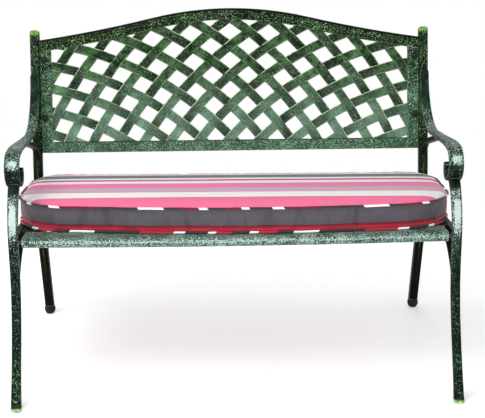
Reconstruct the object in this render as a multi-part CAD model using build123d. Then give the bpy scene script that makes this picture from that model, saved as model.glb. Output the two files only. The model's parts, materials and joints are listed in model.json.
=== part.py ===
"""Two-seat garden bench: cast metal end frames, a woven lattice back and seat, and a loose striped cushion.

Millimetres. X runs along the bench, -Y is the front, +Z is up. Everything is first laid out with Y = 0 near
the middle of the seat, and at the end the whole bench is moved so that its origin is the bottom centre.
"""
from build123d import *
import math
import os

# End frames
FRAME_SPACING = 1060.0       # centre to centre of the two end frames
EDGE_ROUND = 4.0             # rounding of the seat bearers' long edges

# Rear posts: a reclined upper part and a leg that splays back, joined by one bend
RECLINE = 12.2               # lean of the back, degrees from upright
BACK_Y = 208.0               # middle of the back's thickness at BACK_Z
BACK_Z = 438.0               # height where the back's own plane starts
POST_WIDTH = 25.0
POST_DEPTH = 28.0
POST_ROUND = 6.8             # rounding of the post's long edges
POST_RISE = 27.0             # how far the post stands above the end of the top rail
POST_CAP = 8.0               # height of the rounded post top
REAR_FOOT_Y = 284.0
REAR_SPLAY = 16.0            # lean of the rear leg, degrees from upright
REAR_BEND = 500.0            # radius of the bend between post and rear leg

# Arms: a strap that peels off the post, dips, rises and ends in a scroll
ARM_START = 262.0            # where the strap leaves the post, up the back's plane
ARM_THICK = 11.0
ARM_WIDTH = 25.0
SCROLL_WIDTH = 36.0
FLARE_SECTIONS = 5           # sections from the strap's width to the scroll's
ARM_SWEEP = 165.0            # radius of the sweep off the post
ARM_RISE = 5.5               # climb of the strap towards the front, degrees
ARM_RUN = 192.0              # straight length ahead of the sweep
ARM_CROWN = 150.0            # radius of the crown before the scroll
ARM_CROWN_TURN = 18.0
SCROLL_OUTER = 38.0          # radius of the scroll's first turn
SCROLL_OUTER_TURN = 170.0
SCROLL_INNER = 21.0          # radius of the scroll's tucked end
SCROLL_INNER_TURN = 120.0
ARM_TIP = 26.0               # length of the leaf-like tip on the post
ARM_TIP_WIDTH = 9.0
ARM_TIP_THICK = 4.0
ARM_BITE = 1.5               # depth that the strap is let into the post
ARM_EDGE = 3.0               # rounding of the strap's edges

# Front legs: a curve through named points (y, z)
KNEE = (-238.0, 407.0)
SHIN = (-246.0, 297.0)
CALF = (-283.0, 157.0)
ANKLE = (-316.0, 81.0)
FRONT_FOOT = (-352.0, 0.0)
LEG_TOP_AHEAD = 18.0         # the leg meets the scroll this far ahead of its middle
LEG_WIDTH_TOP = 26.0
LEG_WIDTH_SLIM = 22.0
LEG_WIDTH_FOOT = 25.0
LEG_DEPTH_TOP = 22.0
LEG_DEPTH_SLIM = 18.0
LEG_DEPTH_FOOT = 25.0
LEG_SLIM_AT = 0.72           # share of the leg's length where it is slimmest
LEG_SECTIONS = 10
LEG_ROUND = 5.6              # rounding of the leg's long edges
LEG_OVERRUN = 0.3            # the leg's curve runs on under the foot by this share of the ankle's height

# Curved braces of the end frames
ARM_BRACE_DROP = 254.0       # where the brace leaves the post, below the strap's start
ARM_BRACE_RADIUS = 67.0      # its bend off the post
ARM_BRACE_RISE = 17.0        # climb of its straight end, degrees
ARM_BRACE_TOE = 4.0          # depth of its end under the strap
ARM_BRACE_WIDTH = 18.0
ARM_BRACE_DEPTH = 14.0
LEG_BRACE_RADIUS = 205.0
LEG_BRACE_WIDTH = 15.0
LEG_BRACE_DEPTH = 12.0
LEG_BRACE_LAP = 8.4          # how far the brace is let into the seat bearer

# Back panel, laid out on the back's own plane
PANEL_THICK = 12.0
STILE_WIDTH = 30.5
PANEL_BOTTOM = 55.0
BOTTOM_RAIL_DEPTH = 30.0
ARCH_APEX = 443.0
ARCH_RADIUS = 920.0
ARCH_HALF = 210.0            # half width of the centre arc
ARCH_REVERSE = 3500.0        # radius of the hollow shoulders
TOP_RAIL_DEPTH = 31.0
BEAD_RADIUS = 8.5
PANEL_EDGE = 2.5             # rounding of the flat bars' edges

# Woven lattice of the back: rising strips are arcs, falling strips are their mirror image
STRIP_WIDTH = 26.0
STRIP_THICK = 4.6
WEAVE_GAP = 0.2              # air between crossing strips
FLAT_MARGIN = 1.0            # extra flat length on each side of a crossing
ARC_CENTRE = (602.0, -458.0)
ARC_CENTRE_STEP = (-9.3, 13.7)
ARC_RADIUS = 939.0
ARC_RADIUS_STEP = 45.4
ARC_COUNT = 12               # arcs tried on each side of the middle one
WEAVE_REACH = 95.0           # how far crossings are followed beyond the opening
SMALLEST_STRIP = 1500.0      # volume under which a corner scrap of strip is left off

# Seat panel, laid out on the seat's own plane, which falls towards the back
SEAT_SLOPE = 3.5
SEAT_FRONT = -245.0          # front of the rolled edge, at its ends
SEAT_TOP = 396.0
SEAT_BACK_GAP = 23.0         # from the back of the seat to the back's middle line
SEAT_BAR = 24.0              # side and rear bars, square
NOSE_RADIUS = 12.0
NOSE_END_GAP = 7.0           # between the rolled edge and the leg
SEAT_BOW = 15.0              # how far the rolled edge bows forward
FRONT_BAND = 58.0            # flat band behind the rolled edge
BAND_THICK = 11.0
SEAT_PITCH = 80.0            # spacing of the straight seat strips
SEAT_WEAVE_DROP = 0.8        # the woven strips lie this far under the seat's top
BEARER_WIDTH = 20.0
BEARER_DEPTH = 24.0

# Fasteners
BOLT_RADIUS = 4.0
HOLE_CLEARANCE = 0.2
HEAD_RADIUS = 7.0
HEAD_HEIGHT = 4.4
HEAD_DOME = 3.1              # rounding of the head's rim
SOCKET_ACROSS = 5.0
SOCKET_DEPTH = 2.5
WASHER_RADIUS = 10.0
WASHER_THICK = 1.6
NUT_ACROSS = 13.0
NUT_HEIGHT = 6.5
NUT_DOME = 5.5
BACK_BOLT_RISE = 95.0        # lower bolts of the back, up from the panel's bottom
BACK_BOLT_DROP = 23.0        # upper bolts of the back, down from the top rail
BACK_BOLT_GAP = 1.5          # between the back's washers and the post
LUG_HEIGHT = 32.0
LUG_REACH = 25.0
LUG_THICK = 7.5
LUG_LAP = 9.0                # how far a lug runs into the post
SEAT_BOLT_INSET = 35.0       # bolt places, in from each end of the seat's side bars
SEAT_BOLT_GRIP = 19.0        # thread length inside the seat's side bar
BOLT_END_GAP = 1.0           # air past the end of a bolt

# Feet
GLIDE_HEIGHT = 9.0
GLIDE_ROUND = 3.0
BALL_RADIUS = 15.5
BALL_HEIGHT = 25.0
BALL_BELLY = 12.0            # height of the ball foot's widest place
BALL_BASE = 10.0
BALL_NECK = 12.5
STEM_RADIUS = 4.0
STEM_LENGTH = 16.0
STEM_CLEARANCE = 0.05
STEM_END_GAP = 0.5

# Cushion
CUSHION_REACH = 13.0         # how far the ends reach past the end frames' middle, under the arms
CUSHION_FRONT = 14.0         # foremost place of the cushion, back from the rolled edge's ends
CUSHION_BACK_GAP = 3.0       # from the cushion to the back of the seat
CUSHION_BOW = 52.0           # how far the front falls back towards its ends
CUSHION_TURN = -1.8          # the loose cushion lies a little askew, degrees
CUSHION_THICK = 66.0         # from the underside to the top of the upper piping
CUSHION_CROWN = 14.0
CROWN_FLAT = 98.0            # depth of the level middle of the top
CROWN_STEPS = 6
CROWN_CORNER = 25.0          # smallest corner radius of the crown
CUSHION_FRONT_CORNER = 150.0
CUSHION_BACK_CORNER = 100.0
BOXING_INSET = 3.0           # middle of the boxing, in from the cushion's edge
CUSHION_LIFT = 0.3           # air between seat and cushion
PIPING_RADIUS = 3.5
PIPING_INSET = 2.5           # middle of the piping, in from the cushion's edge
PIPING_GAP = 0.3             # air between piping and pad

FRAME_HALF = FRAME_SPACING / 2
POST_INNER = FRAME_HALF - POST_WIDTH / 2
STILE_INNER = POST_INNER - STILE_WIDTH
PANEL_OPEN = PANEL_BOTTOM + BOTTOM_RAIL_DEPTH
SEAT_OUTER = FRAME_HALF - BEARER_WIDTH / 2
SEAT_INNER = SEAT_OUTER - SEAT_BAR
HOLE_RADIUS = BOLT_RADIUS + HOLE_CLEARANCE
BACK_BOLT_INSET = WASHER_RADIUS + BACK_BOLT_GAP
SEAT_DEPTH = BACK_Y - SEAT_FRONT - SEAT_BACK_GAP
BAND_BACK = FRONT_BAND + NOSE_RADIUS
SEAT_BOLT_AT = (BAND_BACK + SEAT_BOLT_INSET, SEAT_DEPTH - SEAT_BOLT_INSET)
WEAVE_HALF = STRIP_THICK + WEAVE_GAP / 2
CUSHION_HALF = FRAME_HALF + CUSHION_REACH
CUSHION_BACK = SEAT_DEPTH - CUSHION_BACK_GAP
CUSHION_MIDDLE = (CUSHION_FRONT + CUSHION_BACK) / 2
CROWN_REACH = (CUSHION_BACK - CUSHION_FRONT - CROWN_FLAT) / 2
LOW_PIPING = CUSHION_LIFT + PIPING_RADIUS
HIGH_PIPING = CUSHION_LIFT + CUSHION_THICK - PIPING_RADIUS
DRILL = 300.0                # length of the hole cutters
FAR = 3000.0                 # larger than the bench, for cutting blocks

LEAN = math.radians(RECLINE)
FALL = math.radians(SEAT_SLOPE)
BACK = Plane(origin=(0, BACK_Y, BACK_Z), x_dir=(1, 0, 0), z_dir=(0, -math.cos(LEAN), math.sin(LEAN)))
SEAT = Plane(origin=(0, SEAT_FRONT, SEAT_TOP), x_dir=(1, 0, 0), z_dir=(0, math.sin(FALL), math.cos(FALL)))

nodes = {}


def main_solid(shape):
    """The largest solid of a cut shape."""
    return max(shape.solids(), key=lambda solid: solid.volume)


def both_sides(name, shape):
    """Store a right-hand piece and its mirror image."""
    nodes["right_" + name] = shape
    nodes["left_" + name] = mirror(shape, about=Plane.YZ)


def side_curve(*pieces):
    """Join curves drawn in (y, z) into one path in the right-hand end frame's plane."""
    placed = [Plane.YZ.offset(FRAME_HALF) * piece for piece in pieces]
    return Wire([edge for piece in placed for edge in piece.edges()])


def bar_section(path, share, width, depth, edge):
    """A rounded rectangle across a path of the end frame, width along X."""
    across = Plane(origin=path @ share, x_dir=(1, 0, 0), z_dir=path % share)
    return across * RectangleRounded(width, depth, edge)


def swept_bar(path, width, depth, edge):
    """A bar of constant section along a path of the end frame."""
    return sweep(bar_section(path, 0, width, depth, edge), path=path)


def back_line(height, ahead):
    """The (y, z) place a given way up the back's plane and ahead of its middle."""
    y = BACK_Y + height * math.sin(LEAN) - ahead * math.cos(LEAN)
    z = BACK_Z + height * math.cos(LEAN) + ahead * math.sin(LEAN)
    return (y, z)


def shoulder():
    """Centre of the arch's right-hand hollow shoulder, and half the turn of its centre arc."""
    turn = math.asin(ARCH_HALF / ARCH_RADIUS)
    span = ARCH_RADIUS + ARCH_REVERSE
    return span * math.sin(turn), ARCH_APEX - ARCH_RADIUS + span * math.cos(turn), turn


def shoulder_height(x, inset):
    """Height up the back's plane of the top rail's edge, moved in by inset, at a place on its shoulder."""
    far_x, far_y, _ = shoulder()
    return far_y - math.sqrt((ARCH_REVERSE + inset) ** 2 - (far_x - x) ** 2)


def below(height):
    """A block that fills the space under a height."""
    return Pos(0, 0, height - FAR / 2) * Box(FAR, FAR, FAR)


POST_TOP = shoulder_height(POST_INNER, 0) + POST_RISE
UPPER_BOLT = shoulder_height(POST_INNER - BACK_BOLT_INSET, TOP_RAIL_DEPTH) - BACK_BOLT_DROP
BACK_BOLT_HEIGHTS = (PANEL_BOTTOM + BACK_BOLT_RISE, UPPER_BOLT)


# Rear posts

def post_path():
    """Foot to top, with the bend where the leg's line meets the back's line."""
    splay = math.tan(math.radians(REAR_SPLAY))
    lean = math.tan(LEAN)
    bend_z = (REAR_FOOT_Y - BACK_Y + BACK_Z * lean) / (splay + lean)
    bend = (REAR_FOOT_Y - bend_z * splay, bend_z)
    foot = (REAR_FOOT_Y, 0.0)
    top = back_line(POST_TOP, 0)
    return side_curve(FilletPolyline(foot, bend, top, radius=REAR_BEND))


def rear_post():
    path = post_path()
    post = swept_bar(path, POST_WIDTH, POST_DEPTH, POST_ROUND)
    top_edges = post.faces().sort_by(Axis.Z)[-1].edges()
    post = fillet(top_edges, POST_CAP)
    post = post - below(BALL_HEIGHT)
    for height in BACK_BOLT_HEIGHTS:
        middle = POST_INNER - LUG_REACH / 2 + LUG_LAP / 2
        lug = Pos(middle, height, -PANEL_THICK / 2 - LUG_THICK / 2)
        post = post + BACK * lug * Box(LUG_REACH + LUG_LAP, LUG_HEIGHT, LUG_THICK)
        hole = Pos(POST_INNER - BACK_BOLT_INSET, height, 0)
        post = post - BACK * hole * Cylinder(HOLE_RADIUS, DRILL)
    stem = Pos(FRAME_HALF, REAR_FOOT_Y - BALL_HEIGHT * math.tan(math.radians(REAR_SPLAY)), BALL_HEIGHT)
    post = post - stem * Cylinder(STEM_RADIUS + STEM_CLEARANCE, 2 * (STEM_LENGTH + STEM_END_GAP))
    return main_solid(post)


# Arms

def arm_pieces():
    """The strap's centre line: sweep off the post, straight run, crown, scroll and tucked end."""
    ahead = POST_DEPTH / 2 + ARM_THICK / 2 - ARM_BITE
    start = back_line(ARM_START, ahead)
    down_the_post = (-math.sin(LEAN), -math.cos(LEAN))
    sweep_arc = JernArc(start, down_the_post, ARM_SWEEP, -(90 - RECLINE + ARM_RISE))
    run = Line(sweep_arc @ 1, sweep_arc @ 1 + (sweep_arc % 1) * ARM_RUN)
    crown = JernArc(run @ 1, run % 1, ARM_CROWN, ARM_CROWN_TURN)
    scroll = JernArc(crown @ 1, crown % 1, SCROLL_OUTER, SCROLL_OUTER_TURN)
    tuck = JernArc(scroll @ 1, scroll % 1, SCROLL_INNER, SCROLL_INNER_TURN)
    return sweep_arc, run, crown, scroll, tuck


def leg_top():
    """The (y, z) place low on the scroll's centre line where the leg meets it."""
    scroll = arm_pieces()[3]
    centre = scroll.edge().arc_center
    return (centre.X - LEG_TOP_AHEAD, centre.Y - math.sqrt(SCROLL_OUTER ** 2 - LEG_TOP_AHEAD ** 2))


def arm():
    sweep_arc, run, crown, scroll, tuck = arm_pieces()
    rear = side_curve(sweep_arc)
    strap = swept_bar(rear, ARM_WIDTH, ARM_THICK, ARM_EDGE)
    front = side_curve(run, crown)
    flare = []
    for step in range(FLARE_SECTIONS):
        share = step / (FLARE_SECTIONS - 1)
        width = ARM_WIDTH + (SCROLL_WIDTH - ARM_WIDTH) * share * share * (3 - 2 * share)
        flare.append(bar_section(front, share, width, ARM_THICK, ARM_EDGE))
    strap = strap + loft(flare)
    strap = strap + swept_bar(side_curve(scroll, tuck), SCROLL_WIDTH, ARM_THICK, ARM_EDGE)
    back_up = (rear % 0) * -ARM_TIP
    tip = Plane(origin=rear @ 0 + back_up, x_dir=(1, 0, 0), z_dir=rear % 0)
    leaf = [tip * RectangleRounded(ARM_TIP_WIDTH, ARM_TIP_THICK, ARM_TIP_THICK / 3)]
    leaf.append(bar_section(rear, 0, ARM_WIDTH, ARM_THICK, ARM_EDGE))
    return strap + loft(leaf)


# Front legs

def leg_path():
    foot = FRONT_FOOT
    drop = tuple(low + (low - high) * LEG_OVERRUN for low, high in zip(foot, ANKLE))
    return side_curve(Spline(leg_top(), KNEE, SHIN, CALF, ANKLE, foot, drop))


def leg_size(share, top, slim, foot):
    """Smoothly slimmer from the top to the slimmest place and fuller again at the foot."""
    if share < LEG_SLIM_AT:
        return slim + (top - slim) * ((LEG_SLIM_AT - share) / LEG_SLIM_AT) ** 2
    return slim + (foot - slim) * ((share - LEG_SLIM_AT) / (1 - LEG_SLIM_AT)) ** 2


def front_leg():
    path = leg_path()
    sections = []
    for step in range(LEG_SECTIONS):
        share = step / (LEG_SECTIONS - 1)
        width = leg_size(share, LEG_WIDTH_TOP, LEG_WIDTH_SLIM, LEG_WIDTH_FOOT)
        depth = leg_size(share, LEG_DEPTH_TOP, LEG_DEPTH_SLIM, LEG_DEPTH_FOOT)
        sections.append(bar_section(path, share, width, depth, LEG_ROUND))
    leg = loft(sections) - below(GLIDE_HEIGHT)
    stem = Pos(FRAME_HALF, front_glide_y(), GLIDE_HEIGHT)
    return leg - stem * Cylinder(STEM_RADIUS + STEM_CLEARANCE, 2 * (STEM_LENGTH + STEM_END_GAP))


def front_glide_y():
    """The leg's middle at the height where the glide meets it."""
    share = GLIDE_HEIGHT / (ANKLE[1] - FRONT_FOOT[1])
    return FRONT_FOOT[0] + (ANKLE[0] - FRONT_FOOT[0]) * share


# Curved braces

def arm_brace():
    """A bar that bends off the post and runs forward until its end lies along the underside of the strap."""
    run = arm_pieces()[1]
    start = back_line(ARM_START - ARM_BRACE_DROP, 0)
    turn = 90 + RECLINE - ARM_BRACE_RISE
    bend = JernArc(start, (math.sin(LEAN), math.cos(LEAN)), ARM_BRACE_RADIUS, turn)
    rise = math.radians(ARM_RISE)
    apart = run @ 0 - bend @ 1
    below_strap = apart.X * math.sin(rise) + apart.Y * math.cos(rise)
    below_at_toe = ARM_THICK / 2 + ARM_BRACE_TOE - ARM_BRACE_DEPTH / 2
    length = (below_strap - below_at_toe) / math.sin(math.radians(ARM_BRACE_RISE - ARM_RISE))
    tail = Line(bend @ 1, bend @ 1 + (bend % 1) * length)
    return swept_bar(side_curve(bend, tail), ARM_BRACE_WIDTH, ARM_BRACE_DEPTH, ARM_EDGE)


def leg_brace():
    """A curve that grows out of the back of the leg and ends along the underside of the seat bearer."""
    rise = (SHIN[0] - CALF[0], SHIN[1] - CALF[1])
    heading = math.atan2(rise[1], rise[0])
    climb = LEG_BRACE_RADIUS * (math.cos(FALL) - math.cos(heading))
    run = LEG_BRACE_RADIUS * (math.sin(heading) + math.sin(FALL))
    lean = rise[0] / rise[1]
    ahead = CALF[0] - lean * CALF[1] + run - SEAT_FRONT
    bearer_low = SEAT_TOP - BEARER_DEPTH / math.cos(FALL) - ahead * math.tan(FALL)
    end_above = LEG_BRACE_LAP - LEG_BRACE_DEPTH / 2
    start_z = (bearer_low + end_above - climb) / (1 + lean * math.tan(FALL))
    start = (CALF[0] + (start_z - CALF[1]) * lean, start_z)
    curve = JernArc(start, rise, LEG_BRACE_RADIUS, -math.degrees(heading) - SEAT_SLOPE)
    return swept_bar(side_curve(curve), LEG_BRACE_WIDTH, LEG_BRACE_DEPTH, ARM_EDGE)


def seat_bearer():
    front = KNEE[0] - SEAT_FRONT
    post_y = back_line((SEAT_TOP - BACK_Z) / math.cos(LEAN), 0)[0]
    length = post_y - KNEE[0]
    beam = Box(BEARER_WIDTH, length, BEARER_DEPTH)
    beam = fillet(beam.edges().filter_by(Axis.Y), EDGE_ROUND)
    beam = Pos(FRAME_HALF, front + length / 2, -BEARER_DEPTH / 2) * beam
    for place in SEAT_BOLT_AT:
        hole = Pos(FRAME_HALF, place, -BEARER_DEPTH / 2) * Rot(0, 90, 0)
        beam = beam - hole * Cylinder(HOLE_RADIUS, 2 * BEARER_WIDTH)
    return SEAT * beam


post = rear_post()
strap = main_solid(arm() - post)
leg = main_solid(front_leg() - strap)
bearer = main_solid(seat_bearer() - leg - post)
both_sides("rear_post", post)
both_sides("arm", strap)
both_sides("front_leg", leg)
both_sides("seat_bearer", bearer)
both_sides("arm_brace", main_solid(arm_brace() - strap - post))
both_sides("leg_brace", main_solid(leg_brace() - leg - bearer))


# Back panel

def arch_chain(inset, half):
    """The top rail's edge, moved in by inset, from -half to +half: shoulder, centre arc, shoulder."""
    far_x, far_y, turn = shoulder()
    hollow = ARCH_REVERSE + inset
    end = math.asin((far_x - half) / hollow)
    size = math.degrees(turn - end)
    first = 270 - math.degrees(turn)
    right = CenterArc((far_x, far_y), hollow, first, size)
    left = CenterArc((-far_x, far_y), hollow, 540 - first - size, size)
    half_turn = math.degrees(turn)
    top = CenterArc((0, ARCH_APEX - ARCH_RADIUS), ARCH_RADIUS - inset, 90 - half_turn, 2 * half_turn)
    return [left, top, right]


def closed_below(chain, half, level):
    """The face between a chain of arcs and a level line under it."""
    right_top = max((edge @ share for edge in chain for share in (0, 1)), key=lambda point: point.X)
    right = Line(right_top, (half, level))
    base = Line((half, level), (-half, level))
    left = Line((-half, level), (-right_top.X, right_top.Y))
    return make_face([edge.edge() for edge in chain] + [right.edge(), base.edge(), left.edge()])


def slab(face, thick):
    return extrude(face, thick / 2, both=True)


def top_rail():
    over = POST_INNER + BEAD_RADIUS
    band = closed_below(arch_chain(BEAD_RADIUS, over), over, 0)
    band = band - closed_below(arch_chain(TOP_RAIL_DEPTH, over), over, 0)
    bead_path = Wire([edge.edge() for edge in arch_chain(BEAD_RADIUS, over)])
    bead_start = Plane(origin=bead_path @ 0, z_dir=bead_path % 0)
    bead = sweep(bead_start * Circle(BEAD_RADIUS), path=bead_path)
    rail = slab(band, PANEL_THICK) + bead
    return rail & Box(2 * POST_INNER, FAR, FAR)


def back_stile():
    block = Pos(POST_INNER - STILE_WIDTH / 2, PANEL_BOTTOM + FAR / 2) * Rectangle(STILE_WIDTH, FAR)
    face = block & closed_below(arch_chain(TOP_RAIL_DEPTH, POST_INNER), POST_INNER, PANEL_BOTTOM)
    stile = slab(face, PANEL_THICK)
    stile = fillet(stile.edges().filter_by(Axis.Y), PANEL_EDGE)
    for height in BACK_BOLT_HEIGHTS:
        stile = stile - Pos(POST_INNER - BACK_BOLT_INSET, height, 0) * Cylinder(HOLE_RADIUS, DRILL)
    return stile


def bottom_rail():
    rail = Box(2 * STILE_INNER, BOTTOM_RAIL_DEPTH, PANEL_THICK)
    rail = fillet(rail.edges().filter_by(Axis.X), PANEL_EDGE)
    return Pos(0, PANEL_BOTTOM + BOTTOM_RAIL_DEPTH / 2, 0) * rail


def squared(stations):
    """Give both ends of each slope between two crossings the same side, so that every face is flat."""
    result = list(stations)
    for place in range(1, len(stations) - 1, 2):
        x1, y1, side_x, side_y, level1 = stations[place]
        x2, y2, _, _, level2 = stations[place + 1]
        run = math.hypot(x2 - x1, y2 - y1)
        across = ((y1 - y2) / run, (x2 - x1) / run)
        if across[0] * side_x + across[1] * side_y < 0:
            across = (-across[0], -across[1])
        result[place] = (x1, y1, across[0], across[1], level1)
        result[place + 1] = (x2, y2, across[0], across[1], level2)
    return result


def woven_strip(stations):
    """A flat strip through stations (x, y, side x, side y, level), closed with flat faces."""
    rings = []
    for x, y, side_x, side_y, level in squared(stations):
        corners = []
        for half, rise in ((-1, -1), (1, -1), (1, 1), (-1, 1)):
            reach = half * STRIP_WIDTH / 2
            corners.append((x + reach * side_x, y + reach * side_y, level + rise * STRIP_THICK / 2))
        rings.append(corners)
    outlines = [rings[0], rings[-1]]
    for ring, following in zip(rings, rings[1:]):
        for corner in range(4):
            beside = (corner + 1) % 4
            outlines.append([ring[corner], ring[beside], following[beside], following[corner]])
    return Solid(Shell([Face(Wire.make_polygon(outline)) for outline in outlines]))


def weave_level(over):
    """Height of a strip's middle where it passes over or under the strip that it crosses."""
    half = (STRIP_THICK + WEAVE_GAP) / 2
    return half if over else -half


def arc_of(index):
    """Centre and radius of a rising strip."""
    x = ARC_CENTRE[0] + index * ARC_CENTRE_STEP[0]
    y = ARC_CENTRE[1] + index * ARC_CENTRE_STEP[1]
    return x, y, ARC_RADIUS + index * ARC_RADIUS_STEP


def crossing(index, other):
    """Upper meeting point of a rising strip and a falling one, and their crossing angle."""
    x1, y1, r1 = arc_of(index)
    x2, y2, r2 = arc_of(other)
    x2 = -x2
    apart = math.hypot(x2 - x1, y2 - y1)
    along = (r1 * r1 - r2 * r2 + apart * apart) / (2 * apart)
    if abs(along) >= r1:
        return None
    aside = math.sqrt(r1 * r1 - along * along)
    unit_x = (x2 - x1) / apart
    unit_y = (y2 - y1) / apart
    x = x1 + along * unit_x + aside * unit_y
    y = y1 + along * unit_y - aside * unit_x
    dot = ((x - x1) * (x - x2) + (y - y1) * (y - y2)) / (r1 * r2)
    return x, y, math.acos(dot)


def flat_half(angle):
    """Half the length along a strip that the crossing strip's footprint covers."""
    return STRIP_WIDTH / 2 * (1 + abs(math.cos(angle))) / math.sin(angle) + FLAT_MARGIN


def arc_stations(index):
    """Cross-sections of a rising strip: two for each crossing near the opening."""
    x1, y1, r1 = arc_of(index)
    found = []
    for other in range(-ARC_COUNT, ARC_COUNT + 1):
        meet = crossing(index, other)
        if meet is None:
            continue
        x, y, angle = meet
        inside_x = abs(x) < STILE_INNER + WEAVE_REACH
        inside_y = PANEL_OPEN - WEAVE_REACH < y < ARCH_APEX + WEAVE_REACH
        if inside_x and inside_y:
            turn = flat_half(angle) / r1
            found.append((math.atan2(y - y1, x - x1), turn, weave_level((index + other) % 2 == 0)))
    found.sort()
    stations = []
    for place, turn, level in found:
        for bearing in (place - turn, place + turn):
            side = (math.cos(bearing), math.sin(bearing))
            stations.append((x1 + r1 * side[0], y1 + r1 * side[1], side[0], side[1], level))
    return stations


def flipped(stations):
    """Stations of the mirror-image strip, which passes under where the first passes over."""
    return [(-x, y, -side_x, side_y, -level) for x, y, side_x, side_y, level in reversed(stations)]


def trimmed(all_stations, window):
    """Strips cut to the opening that they fill."""
    strips = []
    for stations in all_stations:
        inside = woven_strip(stations) & window if len(stations) > 2 else None
        if inside is not None:
            strips += [solid for solid in inside.solids() if solid.volume > SMALLEST_STRIP]
    return strips


def back_lattice():
    opening = closed_below(arch_chain(TOP_RAIL_DEPTH, STILE_INNER), STILE_INNER, PANEL_OPEN)
    window = slab(opening, FAR)
    rising = [arc_stations(index) for index in range(-ARC_COUNT, ARC_COUNT + 1)]
    falling = [flipped(stations) for stations in rising]
    return trimmed(rising, window), trimmed(falling, window)


rising_strips, falling_strips = back_lattice()
nodes["back_top_rail"] = BACK * top_rail()
nodes["back_bottom_rail"] = BACK * bottom_rail()
both_sides("back_stile", BACK * back_stile())
nodes["back_lattice_rising"] = BACK * Compound(rising_strips)
nodes["back_lattice_falling"] = BACK * Compound(falling_strips)


# Seat panel

def bow_radius(half, bow):
    return (half * half + bow * bow) / (2 * bow)


def front_rail():
    """Rolled nose and flat band, swept along a shallow bow."""
    half = FRAME_HALF - LEG_WIDTH_TOP / 2 - NOSE_END_GAP
    bow = bow_radius(half, SEAT_BOW)
    centre_y = NOSE_RADIUS - SEAT_BOW + bow
    reach = math.degrees(math.asin((half + SEAT_BAR) / bow))
    path = CenterArc((0, centre_y, -NOSE_RADIUS), bow, 270 - reach, 2 * reach)
    start = Plane(origin=path @ 0, x_dir=(0, 0, 1), z_dir=path % 0)
    nose = sweep(start * Circle(NOSE_RADIUS), path=path)
    front = closed_above(centre_y, bow, half + SEAT_BAR, BAND_BACK)
    band = Pos(0, 0, -BAND_THICK / 2) * slab(front, BAND_THICK)
    return (nose + band) & Box(2 * half, FAR, FAR)


def closed_above(centre_y, bow, half, level):
    """The face between the nose's bowed middle line and a straight line behind it."""
    reach = math.degrees(math.asin(half / bow))
    arc = CenterArc((0, centre_y), bow, 270 - reach, 2 * reach)
    right = Line(arc @ 1, (half, level))
    back = Line((half, level), (-half, level))
    left = Line((-half, level), arc @ 0)
    return make_face([arc.edge(), right.edge(), back.edge(), left.edge()])


def seat_side_rail():
    length = SEAT_DEPTH - BAND_BACK
    rail = Box(SEAT_BAR, length, SEAT_BAR)
    rail = fillet(rail.edges().filter_by(Axis.Y), PANEL_EDGE)
    rail = Pos(SEAT_OUTER - SEAT_BAR / 2, BAND_BACK + length / 2, -SEAT_BAR / 2) * rail
    for place in SEAT_BOLT_AT:
        depth = SEAT_BOLT_GRIP + BOLT_END_GAP
        hole = Pos(SEAT_OUTER - depth / 2, place, -BEARER_DEPTH / 2) * Rot(0, 90, 0)
        rail = rail - hole * Cylinder(HOLE_RADIUS, depth)
    return rail


def seat_rear_rail():
    rail = Box(2 * SEAT_INNER, SEAT_BAR, SEAT_BAR)
    rail = fillet(rail.edges().filter_by(Axis.X), PANEL_EDGE)
    return Pos(0, SEAT_DEPTH - SEAT_BAR / 2, -SEAT_BAR / 2) * rail


def seat_lattice():
    """Straight strips at half a right angle, woven like the back."""
    back = SEAT_DEPTH - SEAT_BAR
    depth = back - BAND_BACK
    middle_y = (BAND_BACK + back) / 2
    middle_z = -SEAT_WEAVE_DROP - WEAVE_HALF
    window = Pos(0, middle_y, 0) * Box(2 * SEAT_INNER, depth, FAR)
    unit = math.sqrt(0.5)
    reach = int((SEAT_INNER + depth) / SEAT_PITCH) + 1
    flat = flat_half(math.pi / 2)
    rising = []
    for index in range(-reach, reach + 1):
        stations = []
        for other in range(-reach, reach + 1):
            x = (other - index) * SEAT_PITCH * unit
            y = middle_y + (other + index) * SEAT_PITCH * unit
            if abs(x) < SEAT_INNER + SEAT_PITCH and abs(y - middle_y) < depth / 2 + SEAT_PITCH:
                level = middle_z + weave_level((index + other) % 2 == 0)
                for step in (-flat, flat):
                    stations.append((x + step * unit, y + step * unit, -unit, unit, level))
        rising.append(stations)
    falling = []
    for stations in rising:
        falling.append([(-x, y, -a, b, 2 * middle_z - level) for x, y, a, b, level in reversed(stations)])
    return trimmed(rising, window), trimmed(falling, window)


seat_rising, seat_falling = seat_lattice()
nodes["seat_front_rail"] = SEAT * front_rail()
nodes["seat_rear_rail"] = SEAT * seat_rear_rail()
both_sides("seat_side_rail", main_solid(SEAT * seat_side_rail() - post))
nodes["seat_lattice_rising"] = SEAT * Compound(seat_rising)
nodes["seat_lattice_falling"] = SEAT * Compound(seat_falling)


# Fasteners

def bolt(length):
    """Button-head socket bolt: the underside of the head at z = 0, the shank down."""
    head = Cylinder(HEAD_RADIUS, HEAD_HEIGHT, align=(Align.CENTER, Align.CENTER, Align.MIN))
    head = fillet(head.faces().sort_by(Axis.Z)[-1].edges(), HEAD_DOME)
    socket = extrude(RegularPolygon(SOCKET_ACROSS / 2, 6, major_radius=False), SOCKET_DEPTH)
    head = head - Pos(0, 0, HEAD_HEIGHT - SOCKET_DEPTH) * socket
    return head + Cylinder(BOLT_RADIUS, length, align=(Align.CENTER, Align.CENTER, Align.MAX))


def washer():
    """Flat washer standing on z = 0."""
    ring = Circle(WASHER_RADIUS) - Circle(HOLE_RADIUS)
    return extrude(ring, WASHER_THICK)


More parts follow.
